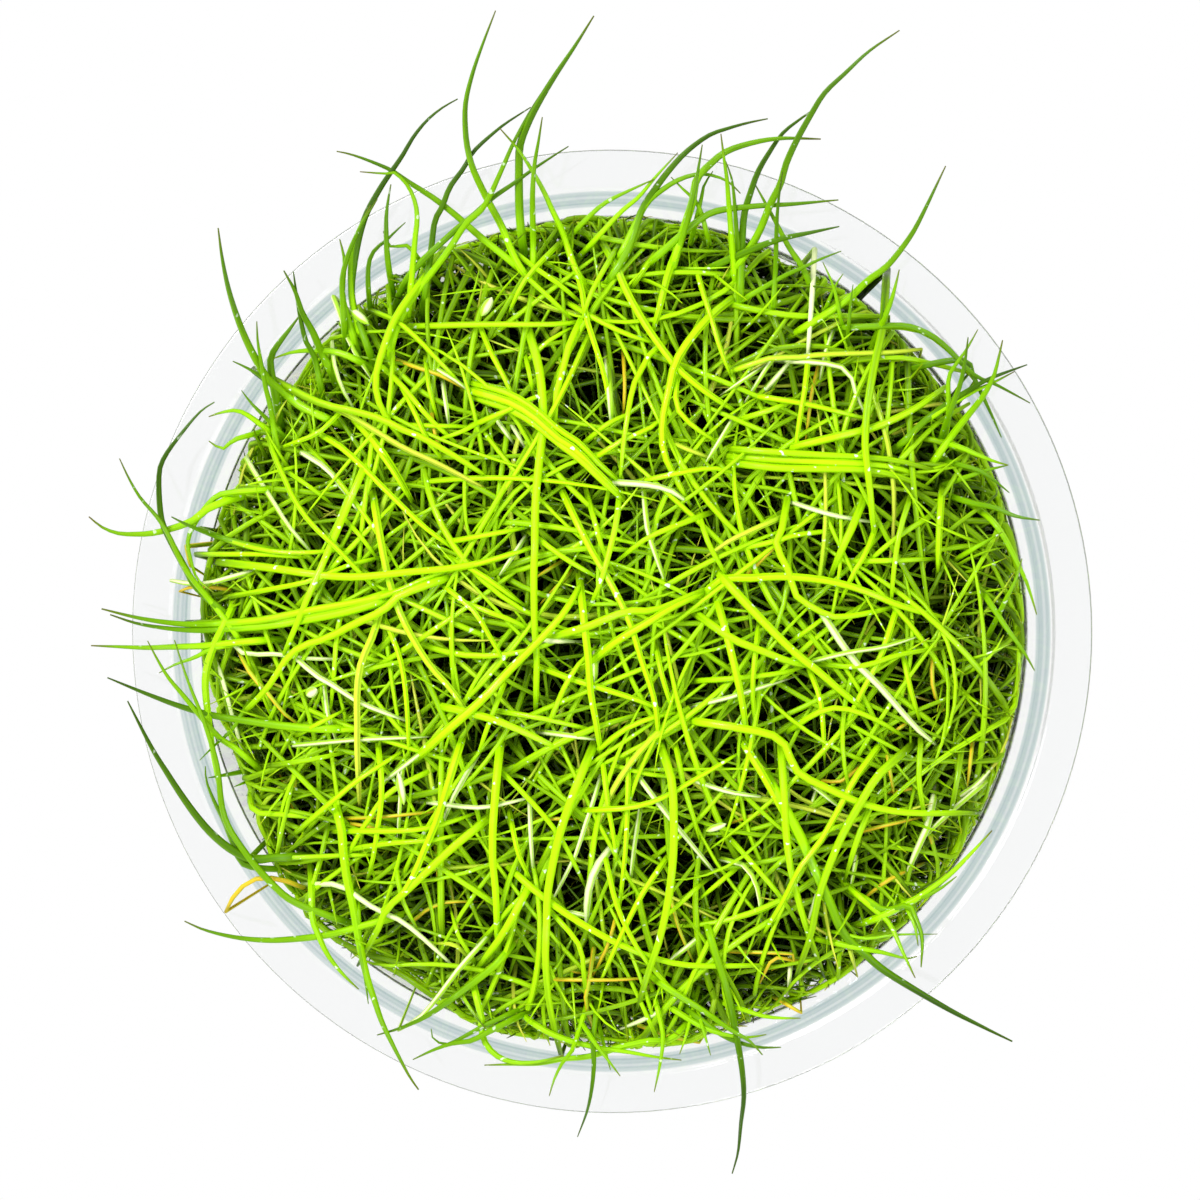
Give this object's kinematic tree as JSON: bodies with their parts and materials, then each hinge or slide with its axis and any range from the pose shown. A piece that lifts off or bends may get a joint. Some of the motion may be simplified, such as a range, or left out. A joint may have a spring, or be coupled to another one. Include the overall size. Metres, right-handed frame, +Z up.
{
  "type": "dwarf hairgrass in a clear bowl",
  "caption": "Dwarf hairgrass packed in a clear flanged bowl: fine green blades stand on a disc of gel, lie over each other in a low dome and cross the rim.",
  "frame": {"origin": "middle of the flat underside of the cup", "axes": "+Z up along the cup's axis; +Y towards the side where the longest blades cross the rim; X and Y are the right and the top of the picture"},
  "size_m": [0.103, 0.1181, 0.0656],
  "materials": {
    "cup_plastic": "clear, colourless, smooth moulded plastic",
    "gel": "clear, faintly straw-coloured soft gel",
    "grass": "living grass, fresh green with a soft shine"
  },
  "bodies": {
    "root": {"culture_cup": "cup_plastic", "nutrient_gel": "gel", "hairgrass": "grass"}
  },
  "joints": []
}
